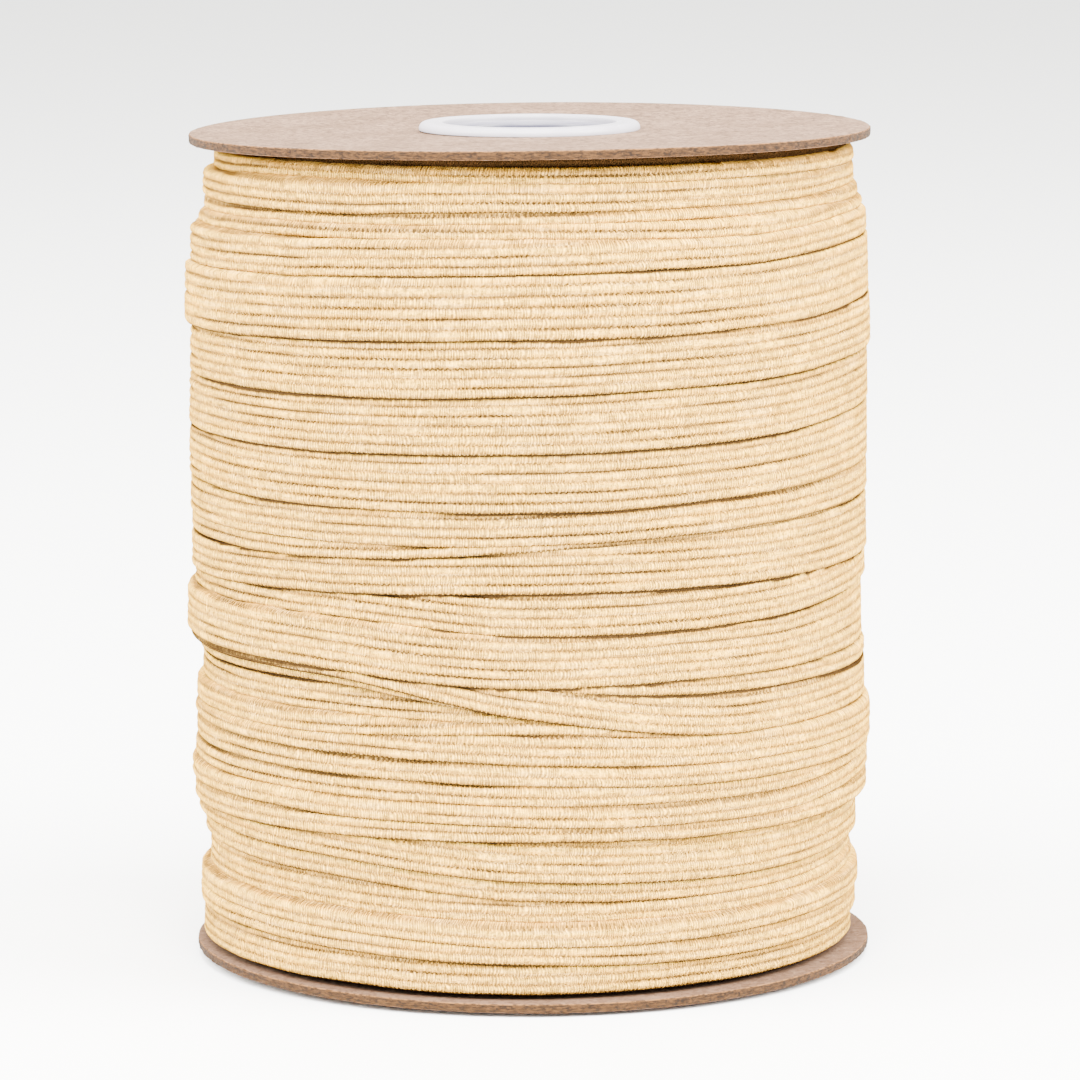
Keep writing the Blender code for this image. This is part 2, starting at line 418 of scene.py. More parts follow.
def band_outline(first, last):
    """For steps first..last and the points across: the angle, radius, height and place among
    the ribs, how far a point is tucked into a crevice, and its gloom under the board."""
    total = whole_path[first:last + 1]
    low, reach = lower_edge(total), band_radius(total)
    later = [total + 360.0 * m for m in range(1, COVERS + 2)]
    above = [lower_edge(t) for t in later]
    cover_reach = [band_radius(t) for t in later[:COVERS]]
    laid = [t <= PATH_END + 1e-6 for t in later[:COVERS]]
    weights = [(np.clip((above[m + 1] - above[m]) / FULL_COVER, 0, 1) * laid[m])[:, None]
               for m in range(COVERS)]
    shown = above[0] - low
    wide = np.clip(shown + OVERLAP, NARROW, WIDEST)
    share = np.append([(rib + cut) / RIBS for rib in range(RIBS) for cut in RIB_CUTS], 1.0)
    z = low[:, None] + share[None, :] * wide[:, None]
    sink, over, tucked = np.zeros_like(z), np.zeros_like(z), np.zeros_like(z)
    for m in range(COVERS):
        cover = smooth_rise((z - above[m][:, None] + EASE[0]) / sum(EASE)) * weights[m]
        sink += cover * SINK
        gap = np.clip(reach - cover_reach[m], 0, None)
        over = np.maximum(over, cover * gap[:, None])
    r = reach[:, None] - sink - over
    dark = crevice_shade(total, shown)[:, None]
    for m in range(COVERS):
        beside = z - above[m][:, None]
        proud = r - cover_reach[m][:, None]
        crevice = (smooth_rise((beside + CREVICE[0]) / CREVICE[1])
                   * (1 - smooth_rise((proud - PROUD[0]) / PROUD[1])))
        tucked = np.maximum(tucked, crevice * weights[m] * dark)
    fold = smooth_rise((z - ROLL_TOP + FOLD_FROM) / FOLD_TALL)
    r = r + LEAN * (1 - share)[None, :] - RIB_HIGH - FOLD_IN * fold
    gloom = fold * np.clip(GAP_SHADE + GAP_RISE * (z - ROLL_TOP), 0.0, 1.0)
    board_under = BOARDS_TALL - BOARD + upper_warp(LID_R, np.radians(total))[:, None]
    lid = board_under - LID_CLEAR - LID_SINK * sink
    bent = lid - LID_SOFT * np.logaddexp(0.0, (lid - z) / LID_SOFT)
    r = r - (z - bent)
    return total, r, np.maximum(bent, BOARD + SEAT_CLEAR), share, tucked, gloom


print("radius of the lowest turn in mm:", np.round(band_outline(0, STEPS)[1].max(), 2))

# %% The outline as a closed skin
INNER = list(range(ACROSS, -1, -len(RIB_CUTS)))  # creases that the inner face repeats
SECTION = (ACROSS + 1) + 1 + len(INNER) + 1      # outer face, upper edge, inner, lower edge


def lay_band(name, first, last):
    """One stretch of the band as a closed mesh, still without its ribs."""
    total, r, z, share, tucked, gloom = band_outline(first, last)
    dr, dz = np.gradient(r, axis=1), np.gradient(z, axis=1)
    length = np.hypot(dr, dz)
    dr, dz = dr / length, dz / length
    nr, nz = dz, -dr
    a = np.radians(total)[:, None]
    count = len(total)

    def place(radius, height):
        return np.stack([radius * np.sin(a), -radius * np.cos(a), height + LIFT], -1) * MM

    def edge(out, points):
        return place((r - nr * BACKING / 2 + dr * out)[:, points],
                     (z - nz * BACKING / 2 + dz * out)[:, points])

    inner = place((r - nr * BACKING)[:, INNER], (z - nz * BACKING)[:, INNER])
    upper_edge, low_edge = edge(EDGE_ROUND, slice(-1, None)), edge(-EDGE_ROUND, slice(0, 1))
    ring = np.concatenate([place(r, z), upper_edge, inner, low_edge], axis=1)
    i, j = np.meshgrid(np.arange(count - 1), np.arange(SECTION), indexing="ij")
    k = (j + 1) % SECTION
    faces = np.stack([i * SECTION + j, (i + 1) * SECTION + j,
                      (i + 1) * SECTION + k, i * SECTION + k], -1).reshape(-1, 4)
    caps = [tuple(range(SECTION)), tuple((count - 1) * SECTION + n
                                         for n in reversed(range(SECTION)))]
    mesh = bpy.data.meshes.new(name)
    mesh.from_pydata(ring.reshape(-1, 3).tolist(), [], faces.tolist() + caps)

    out = np.zeros_like(ring)
    out[:, :ACROSS + 1] = np.stack([nr * np.sin(a), -nr * np.cos(a), nz], -1)
    ribs = np.zeros(ring.shape[:2])
    ribs[:, :ACROSS + 1] = share[None, :] * RIBS
    ribs[:, ACROSS + 1:-1] = RIBS
    hidden = np.ones(ring.shape[:2])
    hidden[:, :ACROSS + 1] = tucked
    hidden[:, 0] = np.maximum(hidden[:, 0], EDGE_SHADE)
    dim = np.zeros(ring.shape[:2])
    dim[:, :ACROSS + 1] = gloom
    store(mesh, "rib_out", out, "FLOAT_VECTOR")
    for label, values in (("rib_place", ribs), ("tucked", hidden), ("under_board", dim)):
        store(mesh, label, values)
    along = np.repeat(run_mm[first:last + 1] * MM, SECTION)
    across = ribs.ravel() * BAND_WIDE / RIBS * MM
    corner = np.zeros(len(mesh.loops), np.int32)
    mesh.loops.foreach_get("vertex_index", corner)
    map_tape(mesh, along[corner], across[corner])
    return mesh


def map_tape(mesh, along, across):
    """The band's own map, in metres, for every corner of a mesh's faces."""
    uv = mesh.uv_layers.new(name="tape")
    uv.data.foreach_set("uv", np.stack([along, across], -1).astype(np.float32).ravel())


def store(mesh, name, values, kind="FLOAT"):
    """Keep one value for each point of a mesh."""
    field = mesh.attributes.new(name, kind, "POINT")
    field.data.foreach_set("vector" if kind == "FLOAT_VECTOR" else "value",
                           np.asarray(values, np.float32).ravel())


print("points round one section:", SECTION)

# %% [markdown]
# ## Raising the ribs with Geometry Nodes
#
# Ribs repeat by a rule, and rules are what Geometry Nodes are for. The tree reads the two
# values that each point carries. The fraction of the rib place says where the point lies
# between two creases, and a power of it gives the round back of a rubber core under its
# threads. Noise from a fixed seed makes no two ribs quite alike, and lets a crease close up
# here and there, where the wound band is pressed flat: more so to the right and low down. How
# shallow a crease is stays on the points as a mark, because the finish needs it too. Sizes are
# named inputs, so a wider or flatter elastic is a change of numbers.

# %% Opening, closing and running a tree
def geometry_tree(name, *numbers):
    """An empty Geometry Nodes tree whose inputs are the geometry, the numbers named here and a
    material. Gives the bench and the wires of the inputs."""
    tree = bpy.data.node_groups.new(name, "GeometryNodeTree")
    tree.interface.new_socket(name="Geometry", in_out="OUTPUT",
                              socket_type="NodeSocketGeometry")
    kinds = {"Geometry": "NodeSocketGeometry", **dict.fromkeys(numbers, "NodeSocketFloat"),
             "Material": "NodeSocketMaterial"}
    for label, kind in kinds.items():
        tree.interface.new_socket(name=label, in_out="INPUT", socket_type=kind)
    bench = Bench(tree)
    return bench, bench.add("NodeGroupInput")


def pushed(bench, geometry, direction, amount):
    """Move every point along its direction by its amount."""
    offset = bench.add("ShaderNodeVectorMath", {"operation": "SCALE"},
                       {0: direction, "Scale": amount})
    return bench.add("GeometryNodeSetPosition", {}, {"Geometry": geometry, "Offset": offset})


def close_tree(bench, geometry, material):
    """Smooth shading, real geometry, a material: the end of every tree here."""
    geometry = bench.add("GeometryNodeSetShadeSmooth", {}, {0: geometry})
    geometry = bench.add("GeometryNodeRealizeInstances", {}, {0: geometry})
    geometry = bench.add("GeometryNodeSetMaterial", {}, {0: geometry, "Material": material})
    end = bench.tree.nodes.new("NodeGroupOutput")
    bench.feed(end.inputs[0], geometry)
    return bench.tree


def put(name, data):
    """An object in the scene for a mesh, a camera or a lamp."""
    thing = bpy.data.objects.new(name, data)
    bpy.context.scene.collection.objects.link(thing)
    return thing


def grow(mesh, name, tree, values):
    """Run a tree on a mesh with values for its named inputs, and keep the plain result."""
    thing = put(name, mesh)
    modifier = thing.modifiers.new("grow", "NODES")
    modifier.node_group = tree
    for item in tree.interface.items_tree:
        if item.in_out == "INPUT" and item.name in values:
            modifier[item.identifier] = values[item.name]
    view = bpy.context.evaluated_depsgraph_get()
    plain = bpy.data.meshes.new_from_object(thing.evaluated_get(view),
                                            preserve_all_data_layers=True, depsgraph=view)
    thing.modifiers.remove(modifier)
    thing.data = plain
    plain.name = name
    bpy.data.meshes.remove(mesh)
    return thing


# %% The tree that raises ribs
CLOSED_GRAIN = 55.0      # scale of the noise that picks the creases which close up
UP_GRAIN = 5.0           # it changes this much faster up the roll than round it,
CREASE_STEP = 3.7        # and is set this far apart from one crease to the next
CLOSED = (0.44, 0.60)    # below the first value a crease is open, above the second closed
RIGHT_CLOSES = (2.0, 76.0)       # what a metre to the right adds to it, and its square
LOW_CLOSES, LOW_DOWN = 2.8, 0.045        # what each metre below this height adds
LONG_GRAIN, SHORT_GRAIN = 190.0, 900.0   # scales of a rib's slow and quick unevenness
LUMPS = 0.12 * MM        # what the unevenness does to the surface by itself


def rib_tree():
    bench, start = geometry_tree("raise_ribs", "Rib height", "Unevenness", "Shallow creases",
                                 "Seed")
    seed = start.also("Seed")
    place = bench.stored("rib_place")
    out = bench.stored("rib_out", "FLOAT_VECTOR")
    where = bench.add("GeometryNodeInputPosition")
    crease = (place + 0.5).whole()
    flat = bench.add("ShaderNodeVectorMath", {"operation": "MULTIPLY"},
                     {0: where, 1: (1.0, 1.0, UP_GRAIN)})
    closed = bench.seeded_noise(CLOSED_GRAIN, 1.0, flat, crease * CREASE_STEP + seed)
    x = bench.add("ShaderNodeSeparateXYZ", {}, {0: where})
    low_down = (LOW_DOWN - x.also("Z")).maths("MAXIMUM", 0.0)
    pressed = x * RIGHT_CLOSES[0] + x * x * RIGHT_CLOSES[1] + low_down * LOW_CLOSES
    between_ribs = place.step(0.4, 0.6) * (1 - place.step(RIBS - 0.6, RIBS - 0.4))
    filled = (closed + pressed).step(*CLOSED) * between_ribs * start.also("Shallow creases")
    side = abs(place.fraction() * 2 - 1)
    back = 1 - side ** 2.0 * (1 - filled)
    long_noise = bench.seeded_noise(LONG_GRAIN, 1.0, where, seed)
    short_noise = bench.seeded_noise(SHORT_GRAIN, 1.0, where, seed)
    uneven = (long_noise * 1.4 + short_noise * 0.6 - 1) * start.also("Unevenness")
    rise = back * start.also("Rib height") * (1 + uneven * 1.6) + uneven * LUMPS
    raised = pushed(bench, start.also("Geometry"), out, rise)
    marked = bench.add("GeometryNodeStoreNamedAttribute", {"data_type": "FLOAT"},
                       {"Geometry": raised, "Name": "shallow", "Value": filled})
    return close_tree(bench, marked, start.also("Material"))


raise_ribs = rib_tree()
print("rib tree:", len(raise_ribs.nodes), "nodes")

# %% [markdown]
# ## The elastic's finish
#
# Elastic of this kind is rubber cores wrapped in fine cream thread. Close to, each rib shows
# short strokes across it, about three to the millimetre, and the creases between ribs show
# small dark stitches where threads dive under. Both follow the band, not the room, so they
# are drawn on the band's own map: metres along it and metres across. The thread is matt, so
# the shader has no gloss: even a little would turn the dark crevices grey at the roll's sides.

# %% Colours and patterns of the thread
THREAD = (0.895, 0.430, 0.030)
THREAD_PALE = (1.000, 0.518, 0.050)
# painted highlight on the upper backs of the ribs
THREAD_LIT = (1.000, 0.590, 0.078)
THREAD_MILK = (1.000, 0.605, 0.165)
# random tan, and also painted shade on the ribs' flanks and lower halves
THREAD_GOLD = (0.405, 0.218, 0.048)
THREAD_DEEP = (0.165, 0.091, 0.025)
# painted shade in the creases between ribs, and the colour of the stitches
THREAD_DARK = (0.045, 0.0240, 0.0085)
CREVICE_DARK = (0.042, 0.0224, 0.0078)
GAP_DARK = (0.041, 0.0195, 0.0062)
STROKE = 0.31 * MM       # from thread to thread
STITCH = 0.56 * MM       # from stitch to stitch in a crease


def thread_patterns(b, along, across, rib, side):
    """Where threads cross a rib, and the fine fuzz and milky streaks on them."""
    jitter = b.noise(330.0, 2.0, 0.6, b.join(along, rib * 0.37, across * 0.3))
    patch = b.noise(170.0, 2.0, 0.5, b.join(along, rib * 0.83, 4.0)).step(0.30, 0.52)
    stroke = along / STROKE + rib * 0.43 + jitter * 7.0 + side * side * 0.4
    ridge = abs(stroke.fraction() * 2 - 1).step(0.15, 0.95)
    hair = b.noise(3000.0, 2.0, 0.6, b.join(along, across * 0.42, rib)).step(0.46, 0.66)
    wool = b.noise(1700.0, 3.0, 0.65, b.join(along * 0.45, across * 1.5, rib)).step(0.45, 0.70)
    streak = b.noise(1500.0, 2.0, 0.6, b.join(along * 0.10, across * 1.6, 3.0))
    return jitter, patch, ridge, hair, wool, streak.step(0.48, 0.66)


def stitches(b, along, valley, side, jitter, shallow):
    """Small dark stitches in the creases, in some stretches strong and in others faint."""
    at = abs((along / STITCH + valley * 0.57 + jitter * 3.0).fraction() * 2 - 1)
    dots = b.noise(1100.0, 1.0, 0.5, b.join(along, valley * 0.73, 0.0)).step(0.34, 0.50)
    strong = b.noise(45.0, 2.0, 0.5, b.join(along, valley * 0.91, 7.0)).step(0.34, 0.58)
    stitch = at.step(0.32, 0.64) * side.step(0.66, 0.84) * dots
    return stitch * (0.3 + 0.7 * strong) * (1 - 0.4 * shallow)


print("to the mm, threads:", round(MM / STROKE, 1), "stitches:", round(MM / STITCH, 1))


# %% Elastic material
def elastic_recipe(b):
    """Coats of thread colour, with a painted highlight on the ribs' backs, painted shade down
    their flanks and in the creases, the stitches, and painted shade in crevices and gaps.
    """
    uv = b.add("ShaderNodeUVMap", {"uv_map": "tape"})
    along = b.add("ShaderNodeSeparateXYZ", {}, {0: uv})
    across = along.also("Y")
    place, shallow = b.mark("rib_place"), b.mark("shallow")
    rib, over_rib, valley = place.whole(), place.fraction(), (place + 0.5).whole()
    side = abs(over_rib * 2 - 1)
    jitter, patch, ridge, hair, wool, streak = thread_patterns(b, along, across, rib, side)
    stitch = stitches(b, along, valley, side, jitter, shallow)
    mottle = b.noise(150.0, 3.0, 0.6, b.join(along * 0.8, rib * 0.31, across * 0.6))
    golden = b.noise(210.0, 3.0, 0.6, b.join(along * 0.8, rib * 0.47, 9.0))
    tone = b.noise(38.0, 1.0, 0.5, b.join(along, rib * 1.9, 2.0))
    deep = b.noise(60.0, 2.0, 0.5, b.join(along, valley * 0.61, 0.0)).step(0.44, 0.64)
    # painted highlight: the upper back of each rib is lighter, as if lit from above
    lit = over_rib.step(0.22, 0.58) * (1 - over_rib.step(0.66, 0.95))
    open_crease = 1 - 0.95 * shallow
    # painted shade: each rib darkens down its flanks toward the crease
    flank_shade = side.step(0.26, 1.0) * (0.64 + 0.34 * deep) * open_crease
    # painted shade: a dark line in the crease between two ribs
    crease_shade = side.step(0.72, 1.0) * (0.12 + 0.88 * deep) * 0.85 * open_crease
    frayed = (b.noise(1500.0, 2.0, 0.6, b.join(along, across, 5.0)) - 0.5) * 0.45
    body = b.coats(
        b.blend(mottle.step(0.36, 0.62), THREAD, THREAD_PALE),
        (golden.step(0.46, 0.70) * 0.40, THREAD_GOLD),
        (tone.step(0.42, 0.66) * 0.40, THREAD_GOLD),
        (lit * 0.92, THREAD_LIT),
        (flank_shade, THREAD_GOLD),
        # painted shade on the lower half of each rib, as if lit from above
        ((1 - over_rib.step(0.05, 0.50)) * 0.42, THREAD_GOLD),
        (streak * 0.50, THREAD_MILK),
        (ridge * patch * (0.62 + 0.22 * side), THREAD_DEEP),
        (hair * 0.61, THREAD_DEEP),
        (wool * 0.41, THREAD_DEEP),
        (crease_shade, THREAD_DARK),
        (stitch * 0.90, THREAD_DARK),
        ((b.mark("tucked") + frayed).step(0.12, 0.60), CREVICE_DARK),
        (b.mark("under_board"), GAP_DARK))
    relief = (1 - ridge) * 0.6 + (1 - hair) * 0.6 + (1 - wool) * 0.5 - stitch
    return {"Base Color": body, "Roughness": 0.78 + ridge * 0.17,
            "Normal": b.bump(1.0, 0.24 * MM, relief)}


elastic = new_material("elastic_thread", elastic_recipe, Specular_IOR_Level=0.0)

# %% [markdown]
# ## The whole winding
#
# The band is made in four stretches, so that none grows past two hundred thousand triangles.
# Under them lies one plain turned core: the deeper turns, which show only as shade in the
# creases. All of them stand for the one solid that MuJoCo knows as the roll.

# %% Four stretches of band
STRETCHES = ((0, 8), (8, 15), (15, 22), (22, 30))
band_pieces = []
for number, (start, stop) in enumerate(STRETCHES, 1):
    smooth = lay_band(f"band_{number}_smooth", start * STEPS, stop * STEPS)
    piece = grow(smooth, f"elastic_band_{number}", raise_ribs,
                 {"Rib height": RIB_HIGH * MM, "Unevenness": 0.30, "Shallow creases": 0.85,
                  "Seed": 4.0, "Material": elastic})
    band_pieces.append(piece)
    print(piece.name, "triangles:", sum(len(p.vertices) - 2 for p in piece.data.polygons))


# %% [markdown]
# ## A turned ring
#
# The core, the boards and the hub halves are all round, so one helper serves them: it turns a
# closed section about the spool's axis, as a lathe would. A screw modifier could do it too, but
# then the marks that the finishes read would have to be found again on the finished mesh.

# %% The ring, and the core as its first use
def turned(name, profile, steps, marks, warp=None, tape=False):
    """A closed ring turned from a closed profile of (radius, height) points in mm. marks keep
    one value for each profile point; warp gives an extra height for a radius and an angle;
    tape adds a map in metres round the ring and up it."""
    r, z = (np.array(v, float) for v in zip(*profile))
    a = np.linspace(0.0, 2 * math.pi, steps, endpoint=False)[:, None]
    lift = warp(r[None, :], a) if warp else 0.0
    rr, zz = np.broadcast_arrays(r[None, :], z[None, :] + lift + 0 * a)
    points = np.stack([rr * np.sin(a), -rr * np.cos(a), zz + LIFT], -1) * MM
    n = len(profile)
    i, j = np.meshgrid(np.arange(steps), np.arange(n), indexing="ij")
    i2, j2 = (i + 1) % steps, (j + 1) % n
    faces = np.stack([i * n + j, i2 * n + j, i2 * n + j2, i * n + j2], -1).reshape(-1, 4)
    mesh = bpy.data.meshes.new(name)
    mesh.from_pydata(points.reshape(-1, 3).tolist(), [], faces.tolist())
    for label, values in marks.items():
        store(mesh, label, np.tile(np.asarray(values, float), steps))
    if tape:
        round_it = np.stack([i, i + 1, i + 1, i], -1) * 2 * math.pi / steps * r.max() * MM
        map_tape(mesh, round_it, z[np.stack([j, j, j2, j2], -1)] * MM)
    faces_inward = np.sum(r * np.roll(z, -1) - np.roll(r, -1) * z) < 0
    if faces_inward:
        mesh.flip_normals()
    return mesh


def as_object(name, mesh, material):
    mesh.materials.append(material)
    mesh.shade_smooth()
    return put(name, mesh)


CORE_BORE = 11.2         # radius of its bore, in mm
CORE_STEPS = 120
CORE_SHADE = 0.9         # all of it lies deep in the crevices
CORE = (   # height and radius of the deeper turns' face, in mm
    (1.4, 34.3), (5.0, 34.4), (12.0, 33.6), (17.0, 34.8), (21.0, 35.6), (33.0, 34.6),
    (40.0, 35.2), (60.0, 35.6), (79.0, 35.4), (83.0, 34.2), (87.0, 33.4), (90.4, 32.4))
core_section = [(CORE_BORE, CORE[-1][0]), (CORE_BORE, CORE[0][0])] + [(r, z) for z, r in CORE]
core_marks = {"rib_place": [z % RIBS for r, z in core_section],
              "tucked": [CORE_SHADE] * len(core_section),
              "shallow": [0.0] * len(core_section), "under_board": [0.0] * len(core_section)}
core_mesh = turned("inner_turns", core_section, CORE_STEPS, core_marks, tape=True)
inner_turns = as_object("inner_turns", core_mesh, elastic)
print("core points:", len(core_mesh.vertices))

# %% [markdown]
# ## The chipboard discs
#
# Grey-brown board is pressed from waste fibre: flecks of dark and pale fibre in its face, and
# a cut edge that is rough, layered and darker, with a pale line along each rim that is a
# painted highlight where the corners catch the light.
# A disc could be a scaled cylinder, but then its edge would be a perfect line. Here it is
# turned from a section with a soft corner, and Geometry Nodes roughen the cut edge and let
# the face rise and fall a little. Each board also has the slight warp seen in the photograph.

# %% The section of a board
BOARD_HOLE = 11.0        # radius of the hole, in mm
BOARD_STEPS = 720
BOARD_FACE = (BOARD_HOLE, 11.6, 13.0, 17.0, 22.0, 27.0, 31.0, 34.0, 36.0, 37.0, 37.6, 37.86)
CUT_EDGE = (   # share of the thickness, and radius, from the lower corner to the upper
    (0.035, 37.95), (0.10, 37.99), (0.22, 38.0), (0.36, 38.0), (0.50, 38.0), (0.64, 38.0),
    (0.78, 38.0), (0.90, 37.99), (0.965, 37.95))


def board_section(z, roll_above):
    """Section of a board, and for each point how much of it is cut edge, how far up the
    thickness it lies, and whether it faces the roll."""
    face, edge = len(BOARD_FACE), len(CUT_EDGE)
    profile = [(r, z) for r in BOARD_FACE]
    profile += [(r, z + BOARD * t) for t, r in CUT_EDGE]
    profile += [(r, z + BOARD) for r in reversed(BOARD_FACE)]
    cut = [0.0] * face + [1.0] * edge + [0.0] * face
    depth = [0.0] * face + [t for t, r in CUT_EDGE] + [1.0] * face
    facing = [1.0] * face + [0.0] * (edge + face)
    if roll_above:
        facing.reverse()
    return profile, {"cut_edge": cut, "board_depth": depth, "under_roll": facing}


print("points in a board's section:", 2 * len(BOARD_FACE) + len(CUT_EDGE))


# %% The tree that roughens a board
def board_tree():
    bench, start = geometry_tree("roughen_board", "Edge roughness", "Face waver", "Grain",
                                 "Seed")
    where = bench.add("GeometryNodeInputPosition")
    coarse = bench.seeded_noise(start.also("Grain"), 3.0, where, start.also("Seed"))
    slow = bench.seeded_noise(60.0, 2.0, where, start.also("Seed"))
    amount = ((coarse - 0.5) * bench.stored("cut_edge") * start.also("Edge roughness")
              + (slow - 0.5) * start.also("Face waver"))
    normal = bench.add("GeometryNodeInputNormal")
    rough = pushed(bench, start.also("Geometry"), normal, amount)
    return close_tree(bench, rough, start.also("Material"))


roughen_board = board_tree()
print("board tree:", len(roughen_board.nodes), "nodes")

# %% [markdown]
# ## The board's finish
#
# Pressed fibre has several looks at once: a cloudy brown ground, a felt of fine dark fibres,
# and single flecks, dark and pale. One noise can't give them all, so each has its own scale
# and its own coat of colour. The cut edge shows the layers of the sheet, so the noise there is
# squeezed along the height, and torn spots lie over it, with a pale line along each rim: a
# painted highlight, where the corners catch the light. A mark darkens the face that looks at
# the roll, where little light comes in.

# %% Board material
BOARD_BROWN = (0.118, 0.070, 0.045)
BOARD_PALE = (0.166, 0.102, 0.070)
FELT_DARK = (0.050, 0.026, 0.016)
FLECK_DARK = (0.045, 0.023, 0.013)
FLECK_PALE = (0.220, 0.145, 0.100)
ROLL_SHADE = (0.066, 0.032, 0.016)
CUT_DARK = (0.012, 0.0048, 0.0010)
CUT_PALE = (0.056, 0.0235, 0.0060)
TORN_DARK = (0.006, 0.0026, 0.0009)
# painted highlight on the rims of the cut edge
CUT_LIP_HIGHLIGHT = (0.250, 0.116, 0.042)


def board_recipe(b):
    """Pressed fibre: pale and dark flecks on the face, layers along the cut edge."""
    here = b.here()
    x = b.add("ShaderNodeSeparateXYZ", {}, {0: here})
    y, z = x.also("Y"), x.also("Z")
    cut, depth = b.mark("cut_edge"), b.mark("board_depth")
    cloudy = b.noise(170.0, 4.0, 0.6, here)
    felt = b.noise(1500.0, 4.0, 0.72, here, 0.5)
    fleck = b.noise(1000.0, 2.0, 0.5, here, 1.0)
    face = b.coats(
        b.blend(cloudy.step(0.32, 0.68), BOARD_BROWN, BOARD_PALE),
        (felt.step(0.45, 0.62) * 0.92, FELT_DARK),
        (fleck.step(0.60, 0.70) * 0.80, FLECK_DARK),
        ((1 - fleck.step(0.28, 0.40)) * 0.8, FLECK_PALE),
        (b.mark("under_roll") * 0.54, ROLL_SHADE))
    layers = b.noise(2100.0, 4.0, 0.7, b.join(x * 0.55, y * 0.55, z * 2.4), 0.2)
    torn = b.noise(2300.0, 3.0, 0.6, b.join(x * 0.8, y * 0.8, z * 1.4), 0.2)
    # painted highlight: a pale line along each rim of the cut edge, where its corners catch the
    # light
    lip_highlight = depth.step(0.82, 0.98) + (1 - depth.step(0.02, 0.12)) * 0.7
    side = b.coats(
        b.blend(layers.step(0.36, 0.66), CUT_DARK, CUT_PALE),
        (torn.step(0.52, 0.62) * 0.80, TORN_DARK),
        (lip_highlight * torn.step(0.36, 0.60) * 0.66, CUT_LIP_HIGHLIGHT))
    height = felt * 0.6 + fleck * 0.3 + (layers * 1.3 + torn) * cut
    return {"Base Color": b.blend(cut.step(0.15, 0.85), face, side),
            "Roughness": 0.86 + felt * 0.12, "Normal": b.bump(0.55, 0.12 * MM, height)}


chipboard = new_material("chipboard", board_recipe, Specular_IOR_Level=0.2)


# %% Make the two boards
def make_board(name, z, roll_above, warp, seed):
    profile, marks = board_section(z, roll_above)
    mesh = turned(name, profile, BOARD_STEPS, marks, warp)
    return grow(mesh, name, roughen_board,
                {"Edge roughness": 0.30 * MM, "Face waver": 0.05 * MM, "Grain": 800.0,
                 "Seed": seed, "Material": chipboard})


upper_board = make_board("upper_board", BOARDS_TALL - BOARD, False, upper_warp, 3.0)
lower_board = make_board("lower_board", 0.0, True, lower_warp, 8.0)
print("boards:", [len(o.data.polygons) for o in (upper_board, lower_board)], "faces")

# %% [markdown]
# ## The plastic hub
#
# Two moulded halves push together inside the roll. Each has a flat rim with a rounded outer
# corner, a fine groove and a softly rolled mouth, and a sleeve that carries the winding. A
# turned section is the natural way to make a moulding like this, with real radii where the
# light catches.

# %% The section of a hub half, in mm
RIM_R, RIM_THICK = 12.35, 0.97
RIM_ROUND, BACK_ROUND = 0.72, 0.12       # rounding of the rim's face and of its back
BORE_R, SLEEVE_R = 9.1, 10.7             # inside and outside of the sleeve
MOUTH, MOUTH_DEEP = 0.55, 1.25           # radius of the rolled mouth, and its centre's depth
LIP = ((9.60, 0.55), (9.62, 0.34), (9.66, 0.14), (9.80, 0.03))
GROOVE = ((10.25, 0.0), (10.31, 0.06), (10.43, 0.06), (10.49, 0.0))
RIM_FLAT = 11.2          # between the groove and the rounding
ROOT = 0.06              # small step where the sleeve leaves the rim
LAP, CLEAR = 3.0, 0.15   # how far the halves overlap to each side of the middle, and their play
TONGUE_R, SOCKET_R = 9.75, 10.05
HUB_STEPS = 144


def arc(centre_r, centre_z, radius, start, end, count):
    """Points of a rounded corner, from one direction to another, in degrees."""
    turn = [math.radians(start + (end - start) * i / (count - 1)) for i in range(count)]
    return [(centre_r + radius * math.cos(t), centre_z + radius * math.sin(t)) for t in turn]


def hub_section(is_tongue):
    """One half, measured up from the face of its rim, which lies at height 0."""
    middle = BOARDS_TALL / 2 + LIFT
    long, short = middle + LAP - CLEAR, middle - LAP + CLEAR
    points = arc(BORE_R + MOUTH, MOUTH_DEEP, MOUTH, 180, 260, 8)
    points += [*LIP, *GROOVE, (RIM_FLAT, 0.0)]
    points += arc(RIM_R - RIM_ROUND, RIM_ROUND, RIM_ROUND, 270, 360, 10)
    points += arc(RIM_R - BACK_ROUND, RIM_THICK - BACK_ROUND, BACK_ROUND, 0, 90, 4)
    points += [(SLEEVE_R + ROOT, RIM_THICK), (SLEEVE_R, RIM_THICK + ROOT)]
    if is_tongue:
        points += [(SLEEVE_R, short), (TONGUE_R, short), (TONGUE_R, long), (BORE_R, long)]
    else:
        points += [(SLEEVE_R, long), (SOCKET_R, long), (SOCKET_R, short), (BORE_R, short)]
    return points + [(BORE_R, 4.0), (BORE_R, 1.6)]


print("points in a hub half's section:", len(hub_section(True)))

# %% [markdown]
# ## The hub's finish
#
# White plastic is never quite even: it fills its mould in faint clouds. Little light comes into
# the bore, which looks dark and blue beside the rim. A second material could be put there, but
# it would start with a hard line, so a mark on the points fades one colour into the other.

# %% Shade down the bore, and the plastic
MOUTH_END = 9.7          # points nearer the axis than this take the shade
FACE_SKIN = 0.04         # it starts this far below the rim's face, in mm,
LIP_SHADE, LIP_DEEP = 0.34, 0.1          # grows to this over the lip,
BORE_FROM, BORE_SPAN = 0.3, 0.7          # and from this depth to all over this span
PLASTIC = (0.325, 0.312, 0.374)
PLASTIC_PALE = (0.356, 0.343, 0.400)
BORE_SHADE = (0.050, 0.049, 0.086)


